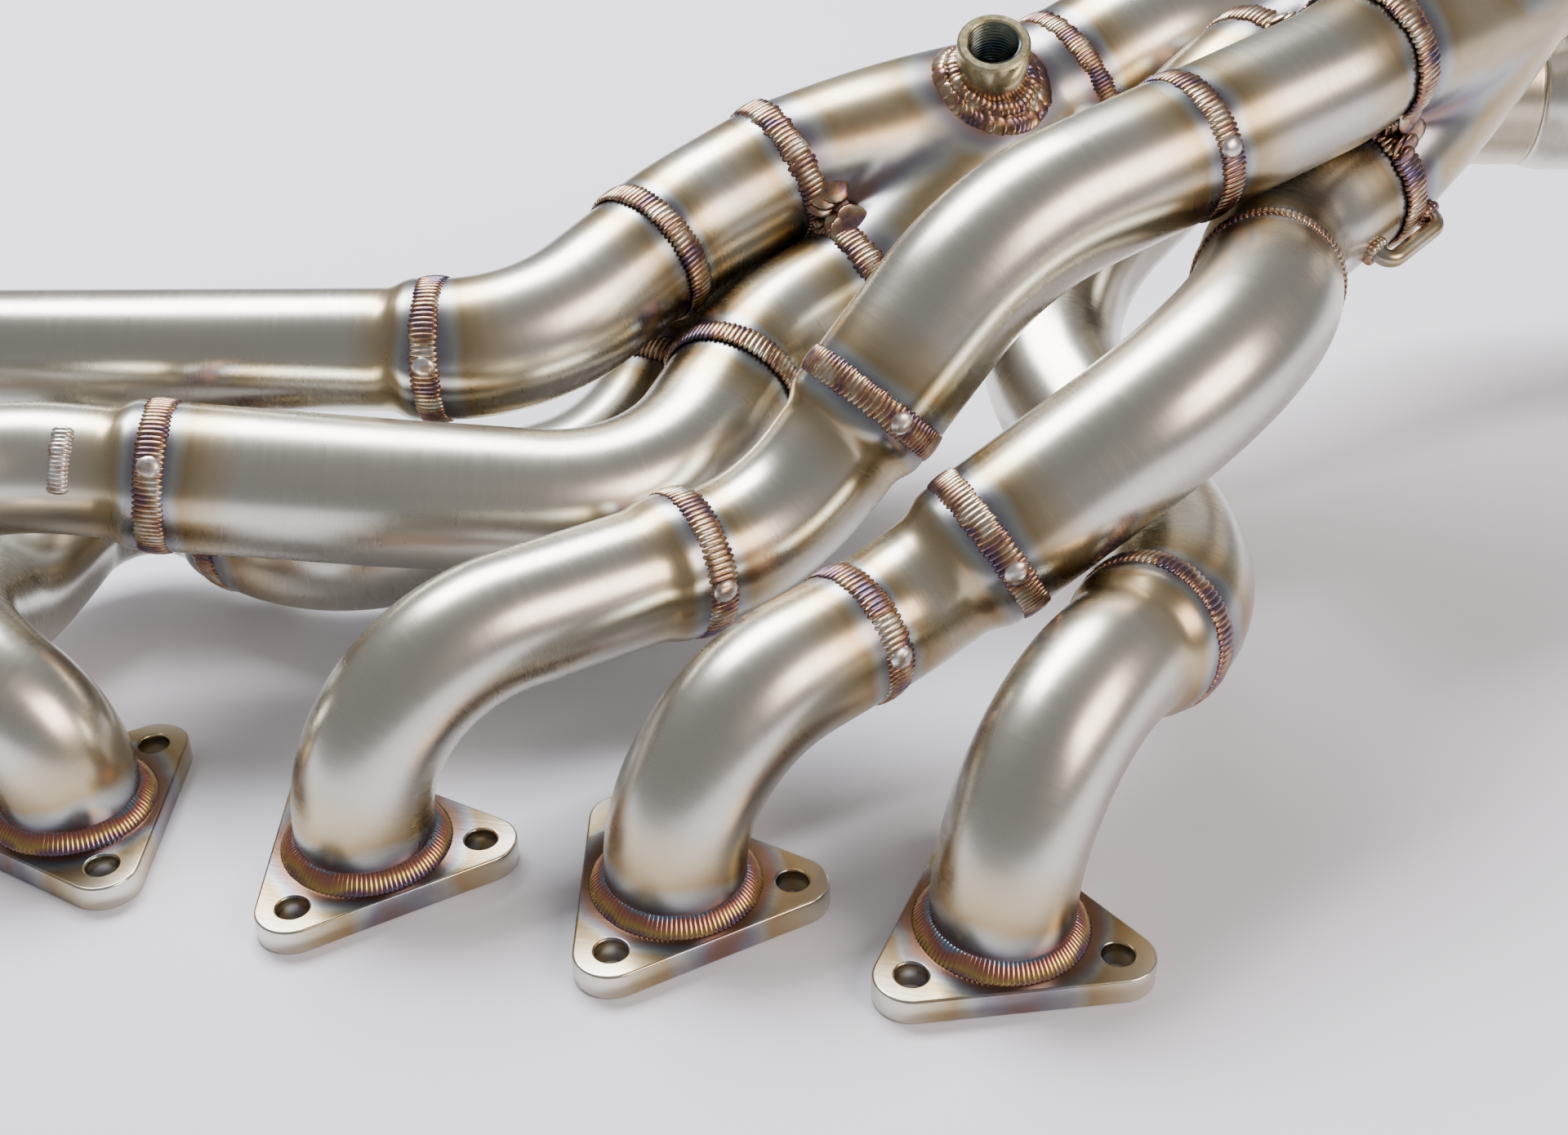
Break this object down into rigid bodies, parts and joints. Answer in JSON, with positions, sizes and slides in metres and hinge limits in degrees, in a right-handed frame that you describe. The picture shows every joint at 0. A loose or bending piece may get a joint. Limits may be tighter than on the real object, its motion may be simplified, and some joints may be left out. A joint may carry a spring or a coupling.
{
  "type": "exhaust manifold",
  "caption": "Tubular exhaust manifold for an in-line engine: bent, stepped steel tubes run from triangular port flanges to two merging collectors with round outlets.",
  "frame": {"origin": "centre of the fourth port, on the face of its flange that seats on the cylinder head", "axes": "+X along the row of ports towards the outlets, +Y along the head face away from the row, +Z away from the cylinder head"},
  "size_m": [0.781, 0.5036, 0.2231],
  "materials": {
    "plate": "bright",
    "tube": "satin",
    "collector": "satin",
    "weld": "rippled",
    "boss": "turned",
    "outlet": "satin"
  },
  "bodies": {
    "root": {"boss_front": "boss", "boss_rear": "boss", "boss_weld_front": "weld", "boss_weld_rear": "weld", "collector_front": "collector", "collector_rear": "collector", "flange_1": "plate", "flange_2": "plate", "flange_3": "plate", "flange_4": "plate", "flange_5": "plate", "flange_6": "plate", "flange_weld_1": "weld", "flange_weld_2": "weld", "flange_weld_3": "weld", "flange_weld_4": "weld", "flange_weld_5": "weld", "flange_weld_6": "weld", "outlet_front": "outlet", "outlet_rear": "outlet", "socket_front": "outlet", "socket_rear": "outlet", "stay_rod": "tube", "tube_1_a": "tube", "tube_1_b": "tube", "tube_1_c": "tube", "tube_2_a": "tube", "tube_2_b": "tube", "tube_2_c": "tube", "tube_3_a": "tube", "tube_3_b": "tube", "tube_3_c": "tube", "tube_4_a": "tube", "tube_4_b": "tube", "tube_4_c": "tube", "tube_4_d": "tube", "tube_5_a": "tube", "tube_5_b": "tube", "tube_5_c": "tube", "tube_5_d": "tube", "tube_6_a": "tube", "tube_6_b": "tube", "tube_6_c": "tube", "weld_1_a": "weld", "weld_1_b": "weld", "weld_2_a": "weld", "weld_2_b": "weld", "weld_3_a": "weld", "weld_3_b": "weld", "weld_4_a": "weld", "weld_4_b": "weld", "weld_4_c": "weld", "weld_5_a": "weld", "weld_5_b": "weld", "weld_5_c": "weld", "weld_6_a": "weld", "weld_6_b": "weld", "weld_outlet_front": "weld", "weld_outlet_rear": "weld"}
  },
  "joints": []
}
